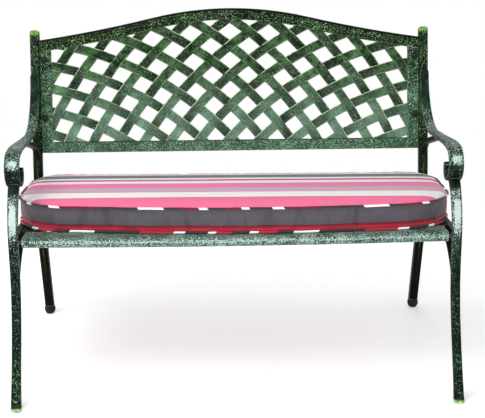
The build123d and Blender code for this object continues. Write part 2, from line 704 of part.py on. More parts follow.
def cap_nut():
    """Domed nut hanging from z = 0, open at the top."""
    hexagon = extrude(RegularPolygon(NUT_ACROSS / 2, 6, major_radius=False), -NUT_HEIGHT)
    dome = Pos(0, 0, -NUT_HEIGHT) * Sphere(NUT_DOME)
    bore = Cylinder(HOLE_RADIUS, 2 * (NUT_HEIGHT + BOLT_END_GAP))
    return hexagon + dome - bore


def group(shapes):
    return Compound([solid for shape in shapes for solid in shape.solids()])


back_bolts = []
back_washers = []
back_nuts = []
for side in (-1, 1):
    for height in BACK_BOLT_HEIGHTS:
        x = side * (POST_INNER - BACK_BOLT_INSET)
        face = PANEL_THICK / 2
        grip = WASHER_THICK + PANEL_THICK + LUG_THICK + NUT_HEIGHT
        back_bolts.append(BACK * Pos(x, height, face + WASHER_THICK) * bolt(grip))
        back_washers.append(BACK * Pos(x, height, face) * washer())
        back_nuts.append(BACK * Pos(x, height, -face - LUG_THICK) * cap_nut())
nodes["back_bolts"] = group(back_bolts)
nodes["back_bolt_washers"] = group(back_washers)
nodes["back_bolt_nuts"] = group(back_nuts)

seat_bolts = []
seat_washers = []
for side in (-1, 1):
    for place in SEAT_BOLT_AT:
        outer = FRAME_HALF + BEARER_WIDTH / 2
        facing = Pos(side * outer, place, -BEARER_DEPTH / 2) * Rot(0, side * 90, 0)
        grip = WASHER_THICK + BEARER_WIDTH + SEAT_BOLT_GRIP
        seat_bolts.append(SEAT * facing * Pos(0, 0, WASHER_THICK) * bolt(grip))
        seat_washers.append(SEAT * facing * washer())
nodes["seat_bolts"] = group(seat_bolts)
nodes["seat_bolt_washers"] = group(seat_washers)


# Feet

def stem():
    return Cylinder(STEM_RADIUS, STEM_LENGTH, align=(Align.CENTER, Align.CENTER, Align.MIN))


def front_glide():
    """A rounded pad under the foot with a stem that pushes up into the leg."""
    pad = extrude(RectangleRounded(LEG_WIDTH_FOOT, LEG_DEPTH_FOOT, LEG_ROUND), GLIDE_HEIGHT)
    pad = chamfer(pad.faces().sort_by(Axis.Z)[0].edges(), GLIDE_ROUND)
    return pad + Pos(0, 0, GLIDE_HEIGHT) * stem()


def rear_glide():
    """A ball foot with a flat base and a stem that pushes up into the leg."""
    belly = (BALL_RADIUS, BALL_BELLY)
    side = ThreePointArc((BALL_BASE, 0), belly, (BALL_NECK, BALL_HEIGHT))
    top = Line((BALL_NECK, BALL_HEIGHT), (0, BALL_HEIGHT))
    axis = Line((0, BALL_HEIGHT), (0, 0))
    base = Line((0, 0), (BALL_BASE, 0))
    face = make_face([base.edge(), side.edge(), top.edge(), axis.edge()])
    ball = revolve(Plane.XZ * face, Axis.Z)
    return ball + Pos(0, 0, BALL_HEIGHT) * stem()


front_glides = []
rear_glides = []
rear_glide_y = REAR_FOOT_Y - BALL_HEIGHT * math.tan(math.radians(REAR_SPLAY))
for side in (-1, 1):
    front_glides.append(Pos(side * FRAME_HALF, front_glide_y(), 0) * front_glide())
    rear_glides.append(Pos(side * FRAME_HALF, rear_glide_y, 0) * rear_glide())
nodes["front_foot_glides"] = group(front_glides)
nodes["rear_foot_glides"] = group(rear_glides)


# Cushion

def cushion_outline(inset, height):
    """The cushion's plan at a height: straight ends and back, bowed front, rounded corners."""
    half = CUSHION_HALF - inset
    back = CUSHION_BACK - inset
    back_round = max(CUSHION_BACK_CORNER - inset, CROWN_CORNER)
    front_round = max(CUSHION_FRONT_CORNER - inset, CROWN_CORNER)
    bow = bow_radius(CUSHION_HALF, CUSHION_BOW) - inset
    bow_y = CUSHION_FRONT + inset + bow
    corner_x = half - front_round
    corner_y = bow_y - math.sqrt((bow - front_round) ** 2 - corner_x ** 2)
    touch_x = corner_x * bow / (bow - front_round)
    touch_y = bow_y + (corner_y - bow_y) * bow / (bow - front_round)
    middle = math.atan2(touch_y - corner_y, touch_x - corner_x) / 2
    mid_x = corner_x + front_round * math.cos(middle)
    mid_y = corner_y + front_round * math.sin(middle)
    slant = back_round * (1 - math.sqrt(0.5))
    edges = [
        ThreePointArc((-touch_x, touch_y), (0, bow_y - bow), (touch_x, touch_y)),
        ThreePointArc((touch_x, touch_y), (mid_x, mid_y), (half, corner_y)),
        Line((half, corner_y), (half, back - back_round)),
        ThreePointArc((half, back - back_round), (half - slant, back - slant), (half - back_round, back)),
        Line((half - back_round, back), (back_round - half, back)),
        ThreePointArc((back_round - half, back), (slant - half, back - slant), (-half, back - back_round)),
        Line((-half, back - back_round), (-half, corner_y)),
        ThreePointArc((-half, corner_y), (-mid_x, mid_y), (-touch_x, touch_y)),
    ]
    return Pos(0, 0, height) * Wire([edge.edge() for edge in edges])


def cushion_pad():
    """Flat underside, boxing between the two pipings, which lie in shallow grooves, and a crowned top."""
    groove = PIPING_INSET + PIPING_RADIUS + PIPING_GAP
    past = PIPING_RADIUS + PIPING_GAP
    middle = (LOW_PIPING + HIGH_PIPING) / 2
    layers = [(groove, CUSHION_LIFT), (groove, LOW_PIPING + past), (BOXING_INSET, middle)]
    layers.append((groove, HIGH_PIPING - past))
    for step in range(CROWN_STEPS + 1):
        share = step / CROWN_STEPS
        rise = CUSHION_CROWN * math.sin(share * math.pi / 2)
        layers.append((groove + (CROWN_REACH - groove) * share * share, HIGH_PIPING + rise))
    return Solid.make_loft([cushion_outline(inset, height) for inset, height in layers], ruled=True)


def piping(height):
    """A round cord along the cushion's edge."""
    outline = cushion_outline(PIPING_INSET, height)
    start = Plane(origin=outline @ 0, z_dir=outline % 0)
    return sweep(start * Circle(PIPING_RADIUS), path=outline)


CUSHION = SEAT * Pos(0, CUSHION_MIDDLE, 0) * Rot(0, 0, CUSHION_TURN) * Pos(0, -CUSHION_MIDDLE, 0)
nodes["cushion_pad"] = CUSHION * cushion_pad()
nodes["cushion_top_piping"] = CUSHION * piping(HIGH_PIPING)
nodes["cushion_bottom_piping"] = CUSHION * piping(LOW_PIPING)

# Put the origin at the bottom centre of the whole bench, and write every piece
whole = Compound(list(nodes.values())).bounding_box()
to_origin = Pos(-whole.center().X, -whole.center().Y, -whole.min.Z)
print("moved to the origin by", to_origin.position, "size", whole.size)
os.makedirs("parts", exist_ok=True)
for name, shape in nodes.items():
    export_step(to_origin * shape, "parts/" + name + ".step")
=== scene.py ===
"""Garden bench looks: woven cast metal with brushing and painted light, and a striped box cushion.

The sizes of shapes are millimetres, as in the part's source, and turn to metres where meshes are
made. Materials, lights and the camera use metres.
"""
import json
import math

import bmesh
import bpy
import numpy as np
from mathutils import Matrix, Vector
from mathutils.kdtree import KDTree


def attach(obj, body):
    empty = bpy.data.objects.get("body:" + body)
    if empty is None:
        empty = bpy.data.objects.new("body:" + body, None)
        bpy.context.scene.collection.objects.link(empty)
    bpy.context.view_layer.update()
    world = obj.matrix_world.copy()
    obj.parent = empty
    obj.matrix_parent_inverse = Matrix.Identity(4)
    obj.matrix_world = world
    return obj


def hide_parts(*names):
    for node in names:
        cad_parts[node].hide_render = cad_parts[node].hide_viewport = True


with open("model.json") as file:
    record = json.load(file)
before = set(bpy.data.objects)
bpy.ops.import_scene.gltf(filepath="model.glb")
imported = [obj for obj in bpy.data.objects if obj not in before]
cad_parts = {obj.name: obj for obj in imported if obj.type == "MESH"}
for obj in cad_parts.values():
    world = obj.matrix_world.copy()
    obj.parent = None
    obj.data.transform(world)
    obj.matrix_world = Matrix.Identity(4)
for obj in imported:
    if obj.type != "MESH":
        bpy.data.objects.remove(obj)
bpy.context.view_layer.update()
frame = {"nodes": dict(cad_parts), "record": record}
NODES = frame["nodes"]

MM = 0.001
SHIFT_Y = 26.0897            # the part's move to its bottom centre

# The back's and the seat's own planes
LEAN = math.radians(12.2)
FALL = math.radians(3.5)
BACK_AT = (0, 208.0 + SHIFT_Y, 438.0)
SEAT_AT = (0, -245.0 + SHIFT_Y, 396.0)

# Woven strips
STRIP_HALF = 13.0
STRIP_THICK = 4.6
WEAVE_GAP = 0.2
FLAT_MARGIN = 1.0
FLAT_SHARE = 0.8             # the share of a crossing over which a strip stays level
ARC_CENTRE = (602.0, -458.0)
ARC_CENTRE_STEP = (-9.3, 13.7)
ARC_RADIUS = 939.0
ARC_RADIUS_STEP = 45.4
ARC_COUNT = 12
WEAVE_REACH = 95.0           # how far outside the frame a crossing still counts
STRIP_STEP = 3.5             # distance between the rows of a strip's mesh
STRIP_INTO = 1.5             # how far the strips' ends run into their frame
SHORTEST_STRIP = 30.0
STILE_INNER = 487.0
PANEL_OPEN = 85.0
ARCH_APEX = 443.0
ARCH_RADIUS = 920.0
ARCH_HALF = 210.0
ARCH_REVERSE = 3500.0
TOP_RAIL_DEPTH = 31.0
SEAT_INNER = 496.0
SEAT_OPEN = (70.0, 406.0)
SEAT_PITCH = 80.0
SEAT_WEAVE_LEVEL = -5.5

# A strip's section: place across, height, and how bright its edge is, with pale brushing that is
# brighter on one side as a painted highlight
STRIP_SECTION = (
    (-13.0, 0.2, 0.1), (-12.7, 1.9, 0.2), (-12.0, 2.3, 0.2), (-11.2, 2.2, 0.2), (-10.4, 1.5, 0.1),
    (-9.5, 1.3, 0.0), (0.0, 1.6, 0.0), (9.5, 1.3, 0.0), (10.4, 1.5, 0.0), (11.2, 2.2, 0.6),
    (12.0, 2.3, 1.0), (12.7, 1.9, 1.0), (13.0, 0.2, 0.4), (12.6, -1.9, 0.1), (11.5, -2.3, 0.1),
    (-11.5, -2.3, 0.1), (-12.6, -1.9, 0.1),
)
RISING_EDGE_HIGHLIGHT = 0.9            # brightness of the edges' brushing and painted highlight, by the strips' direction
FALLING_EDGE_HIGHLIGHT = 0.75

# How dark the strips are, by their own tone and by painted shade: 0 is their paint and 1 is black
STRIP_TONE = 0.06            # a strip's own tone, on average, and how far it varies
STRIP_TONE_TURN = 2.4        # step of that variation from strip to strip, in radians
DIP_PAINTED_SHADE = 0.9              # painted shade added from one dip to the next: darkest where a strip dives under
DARKEST = 0.97
LONE_DIP_ROWS = 46.0         # rows from dip to dip on a strip with fewer than two dips

# Cushion, on the seat's plane
CUSHION_HALF = 543.0
CUSHION_FRONT = 14.0
CUSHION_BACK = 427.0
CUSHION_BOW = 52.0
CUSHION_TURN = math.radians(-1.8)
FRONT_CORNER = 150.0
BACK_CORNER = 100.0
LEAST_CORNER = 25.0
CUSHION_LIFT = 0.3
LOW_SEAM = 3.8
HIGH_SEAM = 62.8
CUSHION_CROWN = 14.0
CROWN_REACH = 157.5
SEAM_INSET = 4.5

# Points along each run of its outline
LONG_POINTS = 120
SIDE_POINTS = 40
FRONT_CORNER_POINTS = 24
BACK_CORNER_POINTS = 20

# The pad before it is stuffed
UNDERSIDE_INSET = 90         # the inner ring of the underside
UNDERSIDE_ROUND = 6          # from the low seam in to the underside
UNDERSIDE_RISE = 1
GUSSET_HOLLOW = 2            # how far the gusset is drawn in between its seams
GUSSET_HALF = 15
CROWN_LAYERS = 8
CROWN_POWER = 3              # how closely the crown's layers crowd at the seam
CROWN_ALLOWANCE = 4          # height that is left to the stuffing
VOXEL = 7.0

# Stuffing
SEAM_PIN = 5.0               # cloth nearer than this to a seam is held
UNDERSIDE_PIN = 1.5          # and so is cloth nearer than this to the lowest level
CLOTH_FRAMES = 20
SWELL_CAP = 3.0              # the most that the stuffing may lift the cloth
SIDE_SWELL_CAP = 4.5         # the most that it may push the cloth sideways
TINY = 1e-9                  # keeps a divisor above zero

# Piping
PIPING_RADIUS = 2.9
PIPING_INSET = 2.5
PIPING_SIDES = 12
PIPING_WAVES = ((0.25, 31, 0.0), (0.2, 13, 1.3))    # height, length per radian, and start
DASH_SLANT = 0.002           # how far a dash's ends slant round the cord, in metres
TOP_DASH_START = -448.6
BOTTOM_DASH_START = -116.7


def plane_matrix(origin, tilt_y, tilt_z):
    """The matrix, in metres, of a plane given by its origin and its second and third axes."""
    matrix = Matrix.Identity(4)
    matrix.col[1] = (*tilt_y, 0)
    matrix.col[2] = (*tilt_z, 0)
    matrix.col[3] = (*(value * MM for value in origin), 1)
    return matrix


BACK = plane_matrix(BACK_AT, (0, math.sin(LEAN), math.cos(LEAN)),
                    (0, -math.cos(LEAN), math.sin(LEAN)))
SEAT = plane_matrix(SEAT_AT, (0, math.cos(FALL), -math.sin(FALL)),
                    (0, math.sin(FALL), math.cos(FALL)))
CUSHION_MIDDLE = Matrix.Translation((0, (CUSHION_FRONT + CUSHION_BACK) / 2 * MM, 0))
CUSHION_SPIN = Matrix.Rotation(CUSHION_TURN, 4, "Z")
CUSHION = SEAT @ CUSHION_MIDDLE @ CUSHION_SPIN @ CUSHION_MIDDLE.inverted()


def new_mesh(name, verts, faces, matrix=Matrix.Identity(4)):
    """A smooth mesh object from points in millimetres, placed by a matrix."""
    mesh = bpy.data.meshes.new(name)
    mesh.from_pydata([Vector(point) * MM for point in verts], [], faces)
    work = bmesh.new()
    work.from_mesh(mesh)
    bmesh.ops.recalc_face_normals(work, faces=work.faces)
    work.to_mesh(mesh)
    work.free()
    mesh.shade_smooth()
    obj = bpy.data.objects.new(name, mesh)
    obj.matrix_world = matrix
    bpy.context.scene.collection.objects.link(obj)
    return obj


def ring_faces(first, second, count):
    """The faces between two rings of points, each ring given by the number of its first point."""
    faces = []
    for point in range(count):
        beside = (point + 1) % count
        faces.append((first + point, first + beside, second + beside, second + point))
    return faces


def add_attribute(obj, name, values):
    """Keep a value for each point of a mesh, for its material."""
    layer = obj.data.attributes.new(name, "FLOAT", "POINT")
    layer.data.foreach_set("value", np.asarray(values, np.float32))


# Woven strips

def arch_height(x):
    """Lower edge of the arched top rail."""
    turn = math.asin(ARCH_HALF / ARCH_RADIUS)
    inner = ARCH_RADIUS - TOP_RAIL_DEPTH
    if abs(x) < inner * math.sin(turn):
        return ARCH_APEX - ARCH_RADIUS + math.sqrt(inner ** 2 - x * x)
    span = ARCH_RADIUS + ARCH_REVERSE
    far_x = span * math.sin(turn)
    far_y = ARCH_APEX - ARCH_RADIUS + span * math.cos(turn)
    return far_y - math.sqrt((ARCH_REVERSE + TOP_RAIL_DEPTH) ** 2 - (far_x - abs(x)) ** 2)


def in_back(x, y):
    """Whether a point lies in the back's opening, or just inside its frame."""
    side = abs(x) < STILE_INNER + STRIP_INTO
    return side and PANEL_OPEN - STRIP_INTO < y < arch_height(x) + STRIP_INTO


def in_seat(x, y):
    """Whether a point lies in the seat's opening, or just inside its frame."""
    side = abs(x) < SEAT_INNER + STRIP_INTO
    return side and SEAT_OPEN[0] - STRIP_INTO < y < SEAT_OPEN[1] + STRIP_INTO


def arc_of(index):
    """Centre and radius of a rising strip's arc."""
    x = ARC_CENTRE[0] + index * ARC_CENTRE_STEP[0]
    y = ARC_CENTRE[1] + index * ARC_CENTRE_STEP[1]
    return x, y, ARC_RADIUS + index * ARC_RADIUS_STEP


def crossing(index, other):
    """Upper meeting point of a rising arc and a falling one, and their crossing angle."""
    x1, y1, r1 = arc_of(index)
    x2, y2, r2 = arc_of(other)
    x2 = -x2
    apart = math.hypot(x2 - x1, y2 - y1)
    along = (r1 * r1 - r2 * r2 + apart * apart) / (2 * apart)
    if abs(along) >= r1:
        return None
    aside = math.sqrt(r1 * r1 - along * along)
    unit_x = (x2 - x1) / apart
    unit_y = (y2 - y1) / apart
    x = x1 + along * unit_x + aside * unit_y
    y = y1 + along * unit_y - aside * unit_x
    dot = ((x - x1) * (x - x2) + (y - y1) * (y - y2)) / (r1 * r2)
    return x, y, math.acos(dot)


def flat_half(angle):
    """Half the length over which a strip lies level at a crossing."""
    return (STRIP_HALF * (1 + abs(math.cos(angle))) / math.sin(angle) + FLAT_MARGIN) * FLAT_SHARE


def weave_level(index, other):
    """Height of a rising strip where it crosses a falling one: over and under by turns."""
    half = (STRIP_THICK + WEAVE_GAP) / 2
    return half if (index + other) % 2 == 0 else -half


def smooth_level(knots, place):
    """Height of a strip at a place along it: level at the crossings, with smooth slopes between."""
    if place <= knots[0][0]:
        return knots[0][1]
    for (first, low), (second, high) in zip(knots, knots[1:]):
        if place <= second:
            share = (place - first) / (second - first)
            return low + (high - low) * share * share * (3 - 2 * share)
    return knots[-1][1]


def level_knots(crossings):
    """Both ends of each level run, in order along the strip."""
    knots = []
    for place, flat, level in sorted(crossings):
        knots += [(place - flat, level), (place + flat, level)]
    return knots


def arc_strip(index):
    """Rows (x, y, side x, side y, level) of a rising strip of the back."""
    x1, y1, r1 = arc_of(index)
    crossings = []
    for other in range(-ARC_COUNT, ARC_COUNT + 1):
        meet = crossing(index, other)
        if meet is None:
            continue
        x, y, angle = meet
        inside_y = PANEL_OPEN - WEAVE_REACH < y < ARCH_APEX + WEAVE_REACH
        if abs(x) < STILE_INNER + WEAVE_REACH and inside_y:
            bearing = math.atan2(y - y1, x - x1)
            crossings.append((bearing * r1, flat_half(angle), weave_level(index, other)))
    if len(crossings) < 2:
        return []
    knots = level_knots(crossings)
    rows = []
    for place in np.arange(knots[0][0], knots[-1][0], STRIP_STEP):
        side = (math.cos(place / r1), math.sin(place / r1))
        rows.append((x1 + r1 * side[0], y1 + r1 * side[1], *side, smooth_level(knots, place)))
    return rows


def seat_strip(index, reach):
    """Rows of a straight rising strip of the seat."""
    unit = math.sqrt(0.5)
    middle = sum(SEAT_OPEN) / 2
    flat = flat_half(math.pi / 2)
    others = range(-reach, reach + 1)
    knots = level_knots([(other * SEAT_PITCH, flat, weave_level(index, other)) for other in others])
    rows = []
    for place in np.arange(knots[0][0], knots[-1][0], STRIP_STEP):
        x = (place - index * SEAT_PITCH) * unit
        y = middle + (place + index * SEAT_PITCH) * unit
        rows.append((x, y, -unit, unit, smooth_level(knots, place)))
    return rows


def trimmed(rows, inside):
    """The rows between the frame's edges, with both ends just inside the frame."""
    def live(row):
        x, y, side_x, side_y, _ = row
        reaches = (-STRIP_HALF, 0, STRIP_HALF)
        return any(inside(x + reach * side_x, y + reach * side_y) for reach in reaches)
    kept = [place for place, row in enumerate(rows) if live(row)]
    if len(kept) * STRIP_STEP < SHORTEST_STRIP:
        return []
    return rows[max(kept[0] - 1, 0):kept[-1] + 2]


def between_dips(levels):
    """For each row of a strip, its share of the way from one dip under a strip to the next."""
    dips = []
    first = None
    for row, level in enumerate(levels):
        if level < -STRIP_THICK / 2:
            first = row if first is None else first
        elif first is not None:
            dips.append((first + row) / 2)
            first = None
    step = (dips[-1] - dips[0]) / (len(dips) - 1) if len(dips) > 1 else LONE_DIP_ROWS
    dips = dips or [len(levels) / 2]
    dips = [dips[0] - 2 * step, dips[0] - step] + dips + [dips[-1] + step, dips[-1] + 2 * step]
    return np.interp(range(len(levels)), dips, range(len(dips))) % 1.0


def strip_mesh(name, strips, mirrored, base_level, matrix, node):
    """All strips of one direction as one mesh that stands for the part's own strips."""
    verts = []
    faces = []
    bright = []
    tone_and_painted_shade = []
    count = len(STRIP_SECTION)
    way = -1 if mirrored else 1
    # The edges' pale brushing, with a painted highlight that is stronger on one side and differs by
    # direction
    edge_brush_and_highlight = FALLING_EDGE_HIGHLIGHT if mirrored else RISING_EDGE_HIGHLIGHT
    for number, rows in enumerate(strips):
        start = len(verts)
        tone = STRIP_TONE + STRIP_TONE * math.sin(STRIP_TONE_TURN * number + way)
        # Painted shade: each strip darkens from where it comes out from under a crossing strip to
        # where it dives under the next
        shares = between_dips([way * row[4] for row in rows])
        for (x, y, side_x, side_y, level), share in zip(rows, shares):
            for across, height, edge in STRIP_SECTION:
                lift = base_level + way * level + height
                verts.append((way * (x + across * side_x), y + across * side_y, lift))
                bright.append(edge * edge_brush_and_highlight)
                tone_and_painted_shade.append(min(tone + DIP_PAINTED_SHADE * share, DARKEST))
        last = start + (len(rows) - 1) * count
        for here in range(start, last, count):
            faces += ring_faces(here, here + count, count)
        faces.append([start + point for point in range(count)])
        faces.append([last + point for point in range(count)])
    obj = new_mesh(name, verts, faces, matrix)
    add_attribute(obj, "edge", bright)
    add_attribute(obj, "tone_and_painted_shade", tone_and_painted_shade)
    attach(obj, "bench")
    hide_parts(node)
    return obj


def woven_panels():
    """The strips of the back and of the seat, one mesh for each direction."""
    back = [trimmed(arc_strip(index), in_back) for index in range(-ARC_COUNT, ARC_COUNT + 1)]
    back = [rows for rows in back if rows]
    reach = int((SEAT_INNER + SEAT_OPEN[1] - SEAT_OPEN[0]) / SEAT_PITCH) + 1
    seat = [trimmed(seat_strip(index, 2 * reach), in_seat) for index in range(-reach, reach + 1)]
    seat = [rows for rows in seat if rows]
    panels = (("back", back, 0, BACK), ("seat", seat, SEAT_WEAVE_LEVEL, SEAT))
    made = []
    for mirrored, word in ((False, "rising"), (True, "falling")):
        for panel, strips, level, matrix in panels:
            name = panel + "_weave_" + word
            node = panel + "_lattice_" + word
            made.append(strip_mesh(name, strips, mirrored, level, matrix, node))
    return made


# Cushion

def arc_points(centre, radius, first, last, count):
    """Points of an arc between two angles, without its last one."""
    step = (last - first) / count
    angles = [first + step * place for place in range(count)]
    return [(centre[0] + radius * math.cos(angle), centre[1] + radius * math.sin(angle))
            for angle in angles]


def line_points(start, end, count):
    """Points of a straight line, without its last one."""
    run_x = end[0] - start[0]
    run_y = end[1] - start[1]
    return [(start[0] + run_x * place / count, start[1] + run_y * place / count)
            for place in range(count)]


def cushion_outline(inset):
    """The cushion's plan, as points in order, moved in by inset."""
    half = CUSHION_HALF - inset
    back = CUSHION_BACK - inset
    back_round = max(BACK_CORNER - inset, LEAST_CORNER)
    back_x = half - back_round
    back_y = back - back_round
    front_round = max(FRONT_CORNER - inset, LEAST_CORNER)
    bow = (CUSHION_HALF ** 2 + CUSHION_BOW ** 2) / (2 * CUSHION_BOW) - inset
    bow_y = CUSHION_FRONT + inset + bow
    front_x = half - front_round
    front_y = bow_y - math.sqrt((bow - front_round) ** 2 - front_x ** 2)
    turn = math.atan2(front_y - bow_y, front_x)
    right = math.pi / 2
    points = arc_points((0, bow_y), bow, -math.pi - turn, turn, LONG_POINTS)
    points += arc_points((front_x, front_y), front_round, turn, 0, FRONT_CORNER_POINTS)
    points += line_points((half, front_y), (half, back_y), SIDE_POINTS)
    points += arc_points((back_x, back_y), back_round, 0, right, BACK_CORNER_POINTS)
    points += line_points((back_x, back), (-back_x, back), LONG_POINTS)
    points += arc_points((-back_x, back_y), back_round, right, math.pi, BACK_CORNER_POINTS)
    points += line_points((-half, back_y), (-half, front_y), SIDE_POINTS)
    points += arc_points((-front_x, front_y), front_round, math.pi, math.pi - turn,
                         FRONT_CORNER_POINTS)
    return points


def cushion_shape():
    """The pad before it is stuffed: a little smaller than the finished one between its seams."""
    underside = CUSHION_LIFT + UNDERSIDE_RISE
    middle = (LOW_SEAM + HIGH_SEAM) / 2
    hollow = SEAM_INSET + GUSSET_HOLLOW
    layers = [
        (UNDERSIDE_INSET, underside), (SEAM_INSET + UNDERSIDE_ROUND, underside),
        (SEAM_INSET, LOW_SEAM), (hollow, middle - GUSSET_HALF), (hollow, middle + GUSSET_HALF),
        (SEAM_INSET, HIGH_SEAM),
    ]
    for step in range(1, CROWN_LAYERS + 1):
        share = step / CROWN_LAYERS
        inset = SEAM_INSET + (CROWN_REACH - SEAM_INSET) * share ** CROWN_POWER
        rise = (CUSHION_CROWN - CROWN_ALLOWANCE) * math.sin(share * math.pi / 2)
        layers.append((inset, HIGH_SEAM + rise))
    verts = []
    faces = []
    for inset, height in layers:
        verts += [(x, y, height) for x, y in cushion_outline(inset)]
    count = len(verts) // len(layers)
    for low in range(0, len(verts) - count, count):
        faces += ring_faces(low, low + count, count)
    faces.append(list(range(count)))
    faces.append(list(range(len(verts) - count, len(verts))))
    return new_mesh("seat_cushion", verts, faces)


def apply_modifiers(obj):
    """Replace an object's mesh by its evaluated one."""
    graph = bpy.context.evaluated_depsgraph_get()
    mesh = bpy.data.meshes.new_from_object(obj.evaluated_get(graph))
    obj.modifiers.clear()
    obj.data = mesh


def positions(obj):
    """The points of an object's mesh, one row each."""
    values = np.zeros(len(obj.data.vertices) * 3)
    obj.data.vertices.foreach_get("co", values)
    return values.reshape(-1, 3)


def set_positions(obj, values):
    """Move the points of an object's mesh to the given rows."""
    obj.data.vertices.foreach_set("co", values.ravel())
    obj.data.update()


def stuffed(obj):
    """Blow up the cloth between its two seams."""
    outline = cushion_outline(SEAM_INSET)
    seams = KDTree(2 * len(outline))
    for place, height in enumerate((LOW_SEAM, HIGH_SEAM)):
        for point, (x, y) in enumerate(outline):
            seams.insert(Vector((x, y, height)) * MM, place * len(outline) + point)
    seams.balance()
    pins = obj.vertex_groups.new(name="seam")
    for vertex in obj.data.vertices:
        near = seams.find(vertex.co)[2]
        if near < SEAM_PIN * MM or vertex.co.z < CUSHION_LIFT * MM + UNDERSIDE_PIN * MM:
            pins.add([vertex.index], 1.0, "REPLACE")
    rest = positions(obj)
    cloth = obj.modifiers.new("stuffing", "CLOTH")
    settings = cloth.settings
    settings.quality = 4
    settings.mass = 0.3
    settings.tension_stiffness = 20
    settings.compression_stiffness = 20
    settings.shear_stiffness = 8
    settings.bending_stiffness = 0.8
    settings.vertex_group_mass = "seam"
    settings.use_pressure = True
    settings.uniform_pressure_force = 4
    settings.shrink_min = -0.015
    settings.effector_weights.gravity = 0
    cloth.point_cache.frame_start = 1
    cloth.point_cache.frame_end = CLOTH_FRAMES
    for step in range(1, CLOTH_FRAMES + 1):
        bpy.context.scene.frame_set(step)
    apply_modifiers(obj)
    moved = positions(obj) - rest
    aside = np.linalg.norm(moved[:, :2], axis=1, keepdims=True)
    moved[:, :2] *= np.minimum(1, SIDE_SWELL_CAP * MM / np.maximum(aside, TINY))
    moved[:, 2] = np.clip(moved[:, 2], -SWELL_CAP * MM, SWELL_CAP * MM)
    set_positions(obj, rest + moved)
    bpy.context.scene.frame_set(1)


def cushion():
    """The stuffed pad, which stands for the part's own."""
    pad = cushion_shape()
    remesh = pad.modifiers.new("even", "REMESH")
    remesh.mode = "VOXEL"
    remesh.voxel_size = VOXEL * MM
    apply_modifiers(pad)
    stuffed(pad)
    place = positions(pad)
    place[:, 2] = np.maximum(place[:, 2], CUSHION_LIFT * MM)
    set_positions(pad, place)
    pad.data.shade_smooth()
    smooth = pad.modifiers.new("smooth", "SUBSURF")
    smooth.levels = 1
    smooth.render_levels = 1
    apply_modifiers(pad)
    pad.data.shade_smooth()
    pad.matrix_world = CUSHION
    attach(pad, "cushion")
    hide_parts("cushion_pad")
    return pad


def piping(name, node, height, way, start):
    """A round cord along one seam, with the distance along it kept for its dashes."""
    outline = [Vector((x, y, 0)) for x, y in cushion_outline(PIPING_INSET)]
    rear = max(range(len(outline)), key=lambda place: outline[place].y - abs(outline[place].x))
    outline = outline[rear:] + outline[:rear]
    count = len(outline)
    total = sum((outline[place] - outline[place - 1]).length for place in range(count))
    verts = []
    faces = []
    along = []
    travelled = 0.0
    for place, point in enumerate(outline):
        ahead = (outline[(place + 1) % count] - outline[place - 1]).normalized()
        outward = Vector((ahead.y, -ahead.x, 0))
        if place:
            travelled += (point - outline[place - 1]).length
        wobble = sum(high * math.sin(travelled / length + begin)
                     for high, length, begin in PIPING_WAVES)
        for side in range(PIPING_SIDES):
            angle = 2 * math.pi * side / PIPING_SIDES
            offset = outward * math.cos(angle) * PIPING_RADIUS
            lift = height + wobble + PIPING_RADIUS * math.sin(angle)
            verts.append((point.x + offset.x, point.y + offset.y, max(lift, CUSHION_LIFT)))
            distance = way * (travelled - total / 2 - start) * MM
            along.append(distance + DASH_SLANT * math.sin(angle))
    for place in range(count):
        following = (place + 1) % count
        faces += ring_faces(place * PIPING_SIDES, following * PIPING_SIDES, PIPING_SIDES)
    cord = new_mesh(name, verts, faces, CUSHION)
    add_attribute(cord, "along", along)
    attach(cord, "cushion")
    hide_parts(node)
    return cord


# Materials

